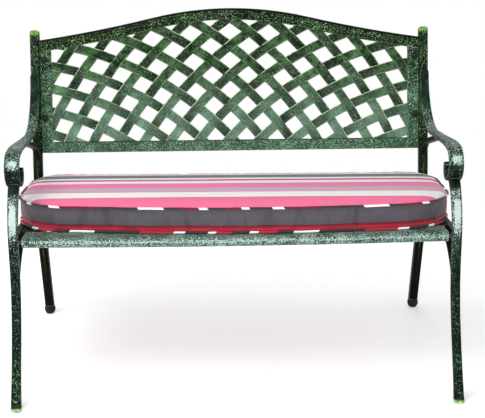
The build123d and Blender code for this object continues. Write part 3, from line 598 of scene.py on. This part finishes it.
class Nodes:
    """Short calls that add and link shader nodes."""

    def __init__(self, name):
        self.material = bpy.data.materials.new(name)
        self.material.use_nodes = True
        self.tree = self.material.node_tree
        self.shader = self.tree.nodes["Principled BSDF"]

    def add(self, kind, **inputs):
        """A node with its inputs set: by name, or as i0, i1 and so on by number."""
        node = self.tree.nodes.new(kind)
        for key, value in inputs.items():
            numbered = key[0] == "i" and key[1:].isdigit()
            self.put(node.inputs[int(key[1:]) if numbered else key], value)
        return node

    def put(self, socket, value):
        """Link a socket to an output, or set its own value."""
        if isinstance(value, bpy.types.NodeSocket):
            self.tree.links.new(value, socket)
        else:
            socket.default_value = value

    def coords(self):
        return self.add("ShaderNodeTexCoord").outputs["Object"]

    def split(self, vector):
        return self.add("ShaderNodeSeparateXYZ", Vector=vector).outputs

    def noise(self, vector, scale, detail=3.0, rough=0.55):
        node = self.add("ShaderNodeTexNoise", Vector=vector, Scale=scale, Detail=detail,
                        Roughness=rough)
        return node.outputs["Fac"]

    def ramp(self, value, low, high):
        """A smooth step from 0 to 1."""
        node = self.add("ShaderNodeMapRange", i0=value, i1=low, i2=high)
        node.interpolation_type = "SMOOTHSTEP"
        return node.outputs["Result"]

    def remap(self, value, low, high, first, last):
        """A value that runs straight from first to last."""
        node = self.add("ShaderNodeMapRange", i0=value, i1=low, i2=high, i3=first, i4=last)
        return node.outputs["Result"]

    def math(self, operation, first, second=0.5):
        node = self.add("ShaderNodeMath", i0=first, i1=second)
        node.operation = operation
        return node.outputs["Value"]

    def times(self, first, second):
        return self.math("MULTIPLY", first, second)

    def vector_math(self, operation, first, second=(0, 0, 0)):
        """The number that a vector operation gives."""
        node = self.add("ShaderNodeVectorMath", i0=first, i1=second)
        node.operation = operation
        return node.outputs["Value"]

    def mix(self, share, first, second, blend="MIX"):
        node = self.tree.nodes.new("ShaderNodeMix")
        node.data_type = "RGBA"
        node.blend_type = blend
        self.put(node.inputs["Factor"], share)
        self.put(node.inputs["A"], first)
        self.put(node.inputs["B"], second)
        return node.outputs["Result"]

    def attribute(self, name):
        node = self.tree.nodes.new("ShaderNodeAttribute")
        node.attribute_name = name
        return node.outputs["Fac"]

    def bump(self, height, strength, distance):
        node = self.add("ShaderNodeBump", Strength=strength, Distance=distance, Height=height)
        return node.outputs["Normal"]

    def bands(self, value, stops, interpolation="CONSTANT"):
        """A colour ramp from (place, colour) stops, in plain steps unless told otherwise."""
        node = self.tree.nodes.new("ShaderNodeValToRGB")
        ramp = node.color_ramp
        ramp.interpolation = interpolation
        while len(ramp.elements) < len(stops):
            ramp.elements.new(1.0)
        while len(ramp.elements) > len(stops):
            ramp.elements.remove(ramp.elements[-1])
        for element, (place, colour) in zip(ramp.elements, stops):
            element.position = place
            element.color = colour
        self.put(node.inputs["Fac"], value)
        return node.outputs["Color"]

    def levels(self, value, points):
        """A value that runs straight between (place, level) points."""
        stops = [(place, (level, level, level, 1.0)) for place, level in points]
        return self.bands(value, stops, "LINEAR")

    def set(self, **inputs):
        """Set the shader's own inputs."""
        for key, value in inputs.items():
            self.put(self.shader.inputs[key.replace("_", " ")], value)
        return self.material


def srgb(red, green, blue):
    """A linear colour from display values of 0 to 255."""
    def linear(value):
        value /= 255
        return value / 12.92 if value <= 0.04045 else ((value + 0.055) / 1.055) ** 2.4
    return (linear(red), linear(green), linear(blue), 1.0)


# The pale green of the edges' brushing, which also stands as their painted highlight
EDGE_GREEN = srgb(204, 230, 186)
# Colours of the painted highlights down the posts' legs and on their tops
RIDGE_HIGHLIGHT_GREEN = srgb(66, 86, 40)
TOP_HIGHLIGHT_LIME = srgb(132, 194, 92)
# Black, towards which painted shade darkens
BLACK = srgb(3, 6, 3)
# Directions toward which faces get a painted highlight
FORWARD = Vector((0, -0.98, 0.19))
FORWARD_UP = Vector((0, -0.94, 0.34))
FRAME_MIDDLE = 0.530         # the end frames' distance from the bench's middle
POST_TOP = 0.8187

# Cast metal: the values at which each look starts and is full
TONE_FADE = (0.34, 0.68)     # noise, from the darker paint to the lighter
REFLECTION_FADE = (0.74, 0.52)     # height, for the painted reflection
LOW_PALE_FADE = (0.3, 0.4)   # height, from the low pale grain's colour to the pale one's
SPECKLE_FADE = (-0.05, 0.08)         # noise over its threshold
HIGHLIGHT_FADE = (0.92, 0.995)          # how squarely a face looks toward a painted highlight's direction
FRAME_FADE = (0.018, 0.003)          # distance from an end frame's middle
BEVEL_FADE = (0.985, 0.93)            # how far a bevel would turn the face
PATCHY_FADE = (0.34, 0.58)           # noise
RIDGE_FADE = (0.0024, 0.0008)        # distance from an end frame's middle, for the painted ridge highlight
RIDGE_TOP_FADE = (0.5, 0.42)         # height
RIDGE_FOOT_FADE = (0.08, 0.3)        # height
POST_TOP_FADE = (POST_TOP - 0.016, POST_TOP - 0.006)
LIME_FADE = (0.38, 0.56)             # noise
UPWARD_SHADE_FADE = (0.28, 0.52)            # how far a face looks up, for its painted shade

REFLECTION_LEAST = 0.1             # the painted reflection that patches add to
PATCH_SHARE = 0.2            # how far patches move the pale grain's threshold
EDGE_RADIUS = 0.003
FINE_RELIEF = 0.75
GRAIN_RELIEF = 0.25


def highlight_mask(make, geometry, toward, aside, wide):
    """Painted highlight: how squarely a face looks toward a direction, by an end frame's middle
    unless wide.
    """
    ahead = make.vector_math("DOT_PRODUCT", geometry.outputs["Normal"], toward)
    ahead = make.ramp(ahead, *HIGHLIGHT_FADE)
    return ahead if wide else make.times(ahead, make.ramp(aside, *FRAME_FADE))


def worn_and_highlit_edges(make, geometry):
    """Where an edge is sharp enough for a bevel to turn its face: pale brushing, also a painted
    highlight.
    """
    bevel = make.add("ShaderNodeBevel", Radius=EDGE_RADIUS)
    bevel.samples = 4
    turned = make.vector_math("DOT_PRODUCT", bevel.outputs["Normal"], geometry.outputs["Normal"])
    return make.ramp(turned, *BEVEL_FADE)


def post_highlights(make, colour, height, aside, patchy, fine):
    """Painted highlights: a line down the front of a post's leg, as on a ridge, and the post's top,
    both broken up by noise.
    """
    ridge = make.times(make.ramp(aside, *RIDGE_FADE), make.ramp(height, *RIDGE_TOP_FADE))
    ridge = make.times(ridge, make.ramp(height, *RIDGE_FOOT_FADE))
    colour = make.mix(make.times(ridge, patchy), colour, RIDGE_HIGHLIGHT_GREEN)
    top = make.times(make.ramp(height, *POST_TOP_FADE), make.ramp(fine, *LIME_FADE))
    return make.mix(top, colour, TOP_HIGHLIGHT_LIME)


def cast_metal(name, low, middle, pale, cover, painted_highlight=None, scale=330.0, strength=0.75,
               painted_shade=((0.0, 1.0),), painted_reflection=None, edge=0.5, post=False, gloss=0.12, toward=FORWARD,
               wide=False, upward_shade=0.0, low_pale=None):
    """Dark green paint with pale green dragged over its grain and along its edges, and painted
    light.

    cover gives the pale grain's threshold at heights, lowered in bands of painted highlight, and
    the painted shade gives the paint's brightness at heights. The painted highlight gives, at
    heights too, how much more pale grain lies on faces that look toward a direction: along an end
    frame's middle, or over a wide piece. The painted reflection is a greyer colour low down, and
    the upward shade is how dark, as painted shade, the faces are that look up. low_pale is the pale
    grain's colour below the seat. A post has a painted highlight down its leg, as on a ridge, and
    on its top.
    """
    make = Nodes(name)
    place = make.coords()
    geometry = make.add("ShaderNodeNewGeometry")
    where = make.split(geometry.outputs["Position"])
    height = where["Z"]
    aside = make.math("SUBTRACT", make.math("ABSOLUTE", where["X"]), FRAME_MIDDLE)
    aside = make.math("ABSOLUTE", aside)
    fine = make.noise(place, scale, detail=2.0, rough=0.6)
    grain = make.noise(place, scale=700.0, detail=2.0)
    patches = make.noise(place, scale=17.0, detail=2.0)
    tone = make.noise(place, scale=42.0, detail=4.0, rough=0.6)
    base = make.mix(make.ramp(tone, *TONE_FADE), low, middle)
    # Painted reflection: a greyer colour low down
    if painted_reflection:
        share = make.times(make.math("ADD", patches, REFLECTION_LEAST), make.ramp(height, *REFLECTION_FADE))
        base = make.mix(share, base, painted_reflection)
    # Painted shade: the paint's brightness at heights
    base = make.mix(1.0, base, make.levels(height, painted_shade), "MULTIPLY")
    # The strips' own tone and their painted shade, towards black
    base = make.mix(make.attribute("tone_and_painted_shade"), base, BLACK)
    limit = make.math("SUBTRACT", make.levels(height, cover), make.times(patches, PATCH_SHARE))
    # Painted highlight: more pale grain on faces that look toward a direction
    if painted_highlight:
        ahead = highlight_mask(make, geometry, toward, aside, wide)
        limit = make.math("SUBTRACT", limit, make.times(ahead, make.levels(height, painted_highlight)))
    speckle = make.ramp(make.math("SUBTRACT", fine, limit), *SPECKLE_FADE)
    if low_pale:
        pale = make.mix(make.ramp(height, *LOW_PALE_FADE), low_pale, pale)
    colour = make.mix(make.times(speckle, strength), base, pale)
    # Pale brushing along the edges, also a painted highlight there
    line = make.attribute("edge")
    if edge:
        line = make.math("MAXIMUM", make.times(worn_and_highlit_edges(make, geometry), edge), line)
    patchy = make.ramp(make.noise(place, scale=45.0, detail=4.0, rough=0.7), *PATCHY_FADE)
    colour = make.mix(make.times(line, patchy), colour, EDGE_GREEN)
    # Painted highlights down a post's leg and on its top
    if post:
        colour = post_highlights(make, colour, height, aside, patchy, fine)
    # Painted shade on faces that look up
    if upward_shade:
        up = make.split(geometry.outputs["Normal"])["Z"]
        colour = make.mix(make.times(make.ramp(up, *UPWARD_SHADE_FADE), upward_shade), colour, BLACK)
    relief = make.math("ADD", make.times(fine, FINE_RELIEF), make.times(grain, GRAIN_RELIEF))
    rough = make.remap(fine, 0.3, 0.7, first=0.5, last=0.34)
    return make.set(Base_Color=colour, Roughness=rough, Specular_IOR_Level=gloss,
                    Normal=make.bump(relief, strength=0.7, distance=0.0011))


def dark_steel():
    """Blackened steel with paler wear."""
    make = Nodes("blackened_steel")
    place = make.coords()
    wear = make.ramp(make.noise(place, scale=420.0), 0.5, 0.72)
    colour = make.mix(wear, srgb(12, 16, 13), srgb(84, 102, 86))
    rough = make.remap(make.noise(place, scale=200.0), 0.0, 1.0, first=0.35, last=0.6)
    relief = make.noise(place, scale=700.0)
    return make.set(Base_Color=colour, Roughness=rough, Metallic=0.5, Specular_IOR_Level=0.3,
                    Normal=make.bump(relief, strength=0.2, distance=0.0003))


def glide_plastic(name, plain, scuffed):
    """Dull plastic with scuffs in a second colour."""
    make = Nodes(name)
    place = make.coords()
    scuffs = make.ramp(make.noise(place, scale=240.0, detail=4.0, rough=0.7), 0.4, 0.66)
    colour = make.mix(scuffs, plain, scuffed)
    relief = make.noise(place, scale=800.0)
    return make.set(Base_Color=colour, Roughness=0.6, Specular_IOR_Level=0.1,
                    Normal=make.bump(relief, strength=0.3, distance=0.0004))


PINK = srgb(248, 112, 156)
MAGENTA_PINK = srgb(255, 122, 180)
RED_PINK = srgb(216, 84, 130)
WHITE = srgb(252, 252, 250)
LILAC = srgb(206, 180, 200)
SLATE = srgb(110, 117, 130)
CHARCOAL = srgb(86, 82, 89)
CRIMSON = srgb(190, 46, 64)
MAROON = srgb(112, 30, 46)
SOOT = srgb(58, 50, 56)
FADED = srgb(120, 100, 110)
CREASE_SHADE = srgb(120, 116, 120)
SOILED = srgb(90, 70, 80)

# The top's stripes, front to back: where each starts on the cushion's plane
TOP_STRIPES = (
    (0.0, PINK), (0.092, WHITE), (0.147, PINK), (0.154, LILAC), (0.197, MAGENTA_PINK),
    (0.253, WHITE), (0.281, RED_PINK), (0.302, WHITE), (0.321, SLATE), (0.362, WHITE),
    (0.373, PINK), (0.380, WHITE), (0.390, PINK),
)
STRIPE_SPAN = 0.45           # the width over which the stripes are given
STRIPE_DRIFT = 0.003         # how far the stripes waver
BAND_DRIFT = 0.3             # how much of that the gusset's red stripe shares
RED_BAND = 0.020             # top of the gusset's red stripe
RED_BAND_DARK = 0.4          # the share of that height at which it starts to darken
RED_BAND_BLUR = 0.0015
TOP_BLUR = 0.0005
FADED_SHARE = 0.07
CREASE_SHADE_SHARE = 0.35
CREASE_STRETCH = (1.0, 1.0, 0.25)
THREADS = 5200.0             # the threads' waves, in radians per metre
UPRIGHT_THREADS = 0.6        # depth of the threads that run round the sides
SOFT_RELIEF = 1.5

# The piping's dashes: where each starts, as a share of the period
PIPING_PERIOD = 0.5426
PIPING_DASHES = (
    (0.0, "white"), (0.049, "red"), (0.20, "dark"), (0.405, "white"), (0.518, "dark"),
    (0.59, "red"), (0.672, "white"), (0.712, "dark"), (0.79, "red"), (0.862, "white"),
    (0.897, "dark"),
)
SOILED_SHARE = 0.15


def weave_relief(make, place):
    """Fine crossing threads."""
    split = make.split(place)
    waves = [make.math("SINE", make.times(split[axis], THREADS)) for axis in ("X", "Y", "Z")]
    return make.math("ADD", make.times(waves[0], waves[1]), make.times(waves[2], UPRIGHT_THREADS))


def striped_fabric():
    """The cushion's cloth: stripes across the top, and a dark gusset with a red stripe."""
    make = Nodes("striped_fabric")
    place = make.coords()
    split = make.split(place)
    drift = make.math("SUBTRACT", make.noise(place, scale=9.0, detail=1.0), 0.5)
    drift = make.times(drift, STRIPE_DRIFT)
    across = make.math("DIVIDE", make.math("ADD", split["Y"], drift), STRIPE_SPAN)
    top = make.bands(across, [(start / STRIPE_SPAN, colour) for start, colour in TOP_STRIPES])
    height = make.math("ADD", split["Z"], make.times(drift, BAND_DRIFT))
    red = make.mix(make.ramp(height, RED_BAND_DARK * RED_BAND, RED_BAND), CRIMSON, MAROON)
    side = make.mix(make.ramp(height, RED_BAND, RED_BAND + RED_BAND_BLUR), red, CHARCOAL)
    is_top = make.ramp(split["Z"], HIGH_SEAM * MM - TOP_BLUR, HIGH_SEAM * MM + TOP_BLUR)
    colour = make.mix(is_top, side, top)
    faded = make.ramp(make.noise(place, scale=70.0, detail=4.0, rough=0.65), 0.2, 0.85)
    colour = make.mix(make.times(faded, FADED_SHARE), colour, FADED, "MULTIPLY")
    # Painted shade in the gusset's creases, on the sides only
    pressed = make.add("ShaderNodeMapping", Vector=place, Scale=CREASE_STRETCH).outputs["Vector"]
    crease_shade = make.ramp(make.noise(pressed, scale=26.0, rough=0.6), 0.5, 0.3)
    crease_shade = make.times(crease_shade, make.math("SUBTRACT", 1.0, is_top))
    colour = make.mix(make.times(crease_shade, CREASE_SHADE_SHARE), colour, CREASE_SHADE, "MULTIPLY")
    soft = make.times(make.noise(place, scale=160.0), SOFT_RELIEF)
    relief = make.math("ADD", weave_relief(make, place), soft)
    make.set(Sheen_Weight=0.25, Sheen_Roughness=0.45, Specular_IOR_Level=0.2)
    return make.set(Base_Color=colour, Roughness=0.85,
                    Normal=make.bump(relief, strength=0.3, distance=0.0004))


def piping_fabric(name, red):
    """The piping's cloth, cut across its dashes."""
    make = Nodes(name)
    place = make.coords()
    turns = make.math("FRACT", make.math("DIVIDE", make.attribute("along"), PIPING_PERIOD))
    kinds = {"white": WHITE, "red": red, "dark": SOOT}
    colour = make.bands(turns, [(start, kinds[kind]) for start, kind in PIPING_DASHES])
    soiled = make.ramp(make.noise(place, scale=300.0), 0.25, 0.8)
    colour = make.mix(make.times(soiled, SOILED_SHARE), colour, SOILED, "MULTIPLY")
    make.set(Sheen_Weight=0.2, Specular_IOR_Level=0.2)
    return make.set(Base_Color=colour, Roughness=0.8,
                    Normal=make.bump(weave_relief(make, place), strength=0.3, distance=0.0004))


def paint(obj, material):
    """Give an object one material."""
    obj.data.materials.clear()
    obj.data.materials.append(material)


# Stage

WORLD_LIGHT = 0.45
FLOOR_HALF = 6
FLOOR_GLOW = 0.35
FLOOR_FADE = (0.9, 1.8)      # distances from the middle at which the floor turns to plain white

# Each lamp's name, place, aim, size and power in watts
LAMPS = (
    ("front", (0, -3.4, 0.85), (0, 0, 0.5), (2.5, 0.45), 42),
    ("top", (-1.2, -1.2, 2.8), (0, 0, 0.45), (1.8, 1.8), 53),
    ("rim", (0.3, 2.6, 2.6), (0, 0, 0.5), (2.0, 1.2), 20),
)

# The camera, as it was fitted to the photograph, with its angles in degrees
PHOTO_WIDTH = 485.0
FOCAL_PIXELS = 1125.0
SENSOR_WIDTH = 36.0
CAMERA_AT = (-0.0675, -2.7931 + SHIFT_Y * MM, 1.2285)
CAMERA_HEADING = -1.848
CAMERA_DOWN = 16.720
CAMERA_ROLL = -0.335


def area_light(name, place, aim, size, power):
    """A soft lamp that looks at a point."""
    light = bpy.data.lights.new(name, "AREA")
    light.shape = "RECTANGLE"
    light.size = size[0]
    light.size_y = size[1]
    light.energy = power
    obj = bpy.data.objects.new(name, light)
    obj.location = place
    obj.rotation_euler = (Vector(aim) - Vector(place)).to_track_quat("-Z", "Y").to_euler()
    bpy.context.scene.collection.objects.link(obj)


def camera():
    """The camera at the photograph's viewing angle."""
    data = bpy.data.cameras.new("camera")
    data.sensor_fit = "HORIZONTAL"
    data.sensor_width = SENSOR_WIDTH
    data.lens = SENSOR_WIDTH * FOCAL_PIXELS / PHOTO_WIDTH
    obj = bpy.data.objects.new("camera", data)
    turn = Matrix.Rotation(math.radians(CAMERA_HEADING), 4, "Z")
    turn = turn @ Matrix.Rotation(math.radians(90 - CAMERA_DOWN), 4, "X")
    turn = turn @ Matrix.Rotation(math.radians(CAMERA_ROLL), 4, "Z")
    obj.matrix_world = Matrix.Translation(CAMERA_AT) @ turn
    bpy.context.scene.collection.objects.link(obj)
    bpy.context.scene.camera = obj


def white_where_seen(tree, lit, share=1.0):
    """White to the camera and in reflections, by a share, and another light level elsewhere."""
    path = tree.nodes.new("ShaderNodeLightPath")
    seen = path.outputs["Is Camera Ray"]
    steps = (
        ("MAXIMUM", path.outputs["Is Glossy Ray"]),
        ("MAXIMUM", path.outputs["Is Transmission Ray"]),
        ("MULTIPLY", share),
    )
    for operation, other in steps:
        step = tree.nodes.new("ShaderNodeMath")
        step.operation = operation
        tree.links.new(seen, step.inputs[0])
        if isinstance(other, float):
            step.inputs[1].default_value = other
        else:
            tree.links.new(other, step.inputs[1])
        seen = step.outputs[0]
    mix = tree.nodes.new("ShaderNodeMixShader")
    in_world = lit.type == "BACKGROUND"
    white = tree.nodes.new("ShaderNodeBackground" if in_world else "ShaderNodeEmission")
    white.inputs["Color"].default_value = (1, 1, 1, 1)
    white.inputs["Strength"].default_value = 1.0
    tree.links.new(seen, mix.inputs["Fac"])
    tree.links.new(lit.outputs[0], mix.inputs[1])
    tree.links.new(white.outputs[0], mix.inputs[2])
    return mix.outputs[0]


def pale_floor():
    """A pale floor that keeps the bench's shadow and turns to plain white further out."""
    make = Nodes("pale_floor")
    place = make.coords()
    speck = make.noise(place, scale=30.0)
    make.set(Base_Color=make.mix(speck, srgb(246, 246, 246), srgb(252, 252, 252)), Roughness=0.9)
    make.set(Emission_Color=(1, 1, 1, 1), Emission_Strength=FLOOR_GLOW)
    far = make.ramp(make.vector_math("LENGTH", place), *FLOOR_FADE)
    surface = white_where_seen(make.tree, make.shader, far)
    make.put(make.tree.nodes["Material Output"].inputs["Surface"], surface)
    return make.material


def stage():
    """The world, the floor and the lamps."""
    world = bpy.data.worlds.new("studio")
    bpy.context.scene.world = world
    world.use_nodes = True
    tree = world.node_tree
    lit = tree.nodes["Background"]
    lit.inputs["Color"].default_value = (1, 1, 1, 1)
    lit.inputs["Strength"].default_value = WORLD_LIGHT
    tree.links.new(white_where_seen(tree, lit), tree.nodes["World Output"].inputs["Surface"])
    corners = [(x * FLOOR_HALF, y * FLOOR_HALF, 0) for x, y in ((-1, -1), (1, -1), (1, 1), (-1, 1))]
    mesh = bpy.data.meshes.new("floor")
    mesh.from_pydata(corners, [], [(0, 1, 2, 3)])
    floor = bpy.data.objects.new("floor", mesh)
    bpy.context.scene.collection.objects.link(floor)
    paint(floor, pale_floor())
    for lamp in LAMPS:
        area_light(*lamp)


# Painted reflection low on the back's strips, and painted shade towards their top
WOVEN = cast_metal(
    "cast_metal_woven", srgb(28, 48, 24), srgb(92, 140, 88), srgb(176, 216, 176),
    cover=((0.5, 0.71), (0.8, 0.74)), painted_shade=((0.5, 1.0), (0.85, 0.6)), scale=380.0, strength=0.5,
    painted_reflection=srgb(138, 176, 156), edge=0.35, gloss=0.05,
)
# Painted reflection low on the back's frame, painted shade towards its top and on faces that look
# up
BACK_FRAME = cast_metal(
    "cast_metal_back_frame", srgb(5, 16, 7), srgb(38, 72, 42), srgb(158, 205, 166),
    cover=((0.5, 0.67), (0.8, 0.69)), painted_shade=((0.5, 0.9), (0.85, 0.5)),
    painted_reflection=srgb(64, 98, 78), edge=0.45, upward_shade=0.9, gloss=0.06,
)
# Painted shade, darker towards the top rail's top and on faces that look up
TOP_RAIL = cast_metal(
    "cast_metal_top_rail", srgb(5, 13, 4), srgb(36, 66, 30), srgb(150, 206, 136),
    cover=((0.5, 0.7),), painted_shade=((0.7, 0.32), (0.85, 0.16)), strength=0.7,
    edge=0.25, upward_shade=0.95, gloss=0.06,
)
# Painted highlight on the scroll's front; painted shade below it and on the strap above
ARM = cast_metal(
    "cast_metal_arm", srgb(6, 20, 13), srgb(36, 72, 52), srgb(208, 232, 222),
    cover=((0.46, 0.78), (0.55, 0.76), (0.57, 0.68), (0.60, 0.68), (0.64, 0.84)),
    painted_highlight=((0.55, 0.1), (0.57, 0.28), (0.60, 0.26), (0.64, 0.0)), toward=FORWARD_UP,
    painted_shade=((0.50, 0.25), (0.55, 0.35), (0.57, 1.0), (0.60, 1.0), (0.65, 0.45)), gloss=0.06,
)
# Painted highlight on the leg's upper front; painted shade under the scroll and low down
LEG = cast_metal(
    "cast_metal_leg", srgb(5, 13, 8), srgb(34, 62, 44), srgb(212, 232, 226),
    cover=((0.0, 0.71), (0.30, 0.74), (0.36, 0.73), (0.43, 0.64), (0.49, 0.64), (0.50, 0.82)),
    painted_highlight=((0.38, 0.0), (0.43, 0.24), (0.48, 0.38), (0.495, 0.38), (0.505, 0.0)),
    painted_shade=((0.05, 0.12), (0.30, 0.22), (0.38, 1.0), (0.49, 1.0), (0.505, 0.3)),
    gloss=0.06, low_pale=srgb(128, 184, 140),
)
# Painted highlight along the nose of the seat's front rail
RAIL = cast_metal(
    "cast_metal_rail", srgb(22, 46, 36), srgb(58, 96, 78), srgb(194, 216, 208),
    cover=((0.4, 0.64),), painted_highlight=((0.4, 0.07),), toward=FORWARD_UP, wide=True,
)
# Painted shade low on the posts; painted highlights down their legs and on their tops
POST = cast_metal(
    "cast_metal_post", srgb(8, 16, 8), srgb(38, 64, 38), srgb(150, 196, 142),
    cover=((0.36, 0.9), (0.52, 0.71)),
    painted_shade=((0.30, 0.08), (0.40, 0.25), (0.52, 0.3), (0.62, 0.5)), post=True, gloss=0.06,
)
DARK = cast_metal(
    "cast_metal_dark", srgb(5, 9, 6), srgb(18, 30, 20), srgb(98, 136, 70),
    cover=((0.3, 0.84), (0.6, 0.76)), edge=0, gloss=0.06,
)
STEEL = dark_steel()
FRONT_GLIDE = glide_plastic("front_glide_plastic", srgb(96, 140, 56), srgb(206, 238, 164))
REAR_GLIDE = glide_plastic("rear_glide_plastic", srgb(8, 12, 8), srgb(46, 58, 42))
LOOKS = {
    "back_stile": BACK_FRAME, "back_top_rail": TOP_RAIL, "back_bottom_rail": BACK_FRAME,
    "arm": ARM, "front_leg": LEG, "seat_front_rail": RAIL, "rear_post": POST, "arm_brace": DARK,
    "leg_brace": DARK, "seat_bearer": DARK, "seat_side_rail": DARK, "seat_rear_rail": DARK,
    "front_foot_glides": FRONT_GLIDE, "rear_foot_glides": REAR_GLIDE,
}
for record in frame["record"]["subparts"]:
    name = record["node"]
    short = name.removeprefix("left_").removeprefix("right_")
    if record["material_slot"] == "fasteners":
        paint(NODES[name], STEEL)
    else:
        paint(NODES[name], LOOKS.get(short, WOVEN))
for woven in woven_panels():
    paint(woven, WOVEN if woven.name.startswith("back") else DARK)
paint(cushion(), striped_fabric())
paint(piping("top_piping", "cushion_top_piping", HIGH_SEAM, 1, TOP_DASH_START),
      piping_fabric("top_piping_fabric", MAROON))
paint(piping("bottom_piping", "cushion_bottom_piping", LOW_SEAM, -1, BOTTOM_DASH_START),
      piping_fabric("bottom_piping_fabric", CRIMSON))

bpy.context.scene.view_settings.view_transform = "Standard"
stage()
camera()
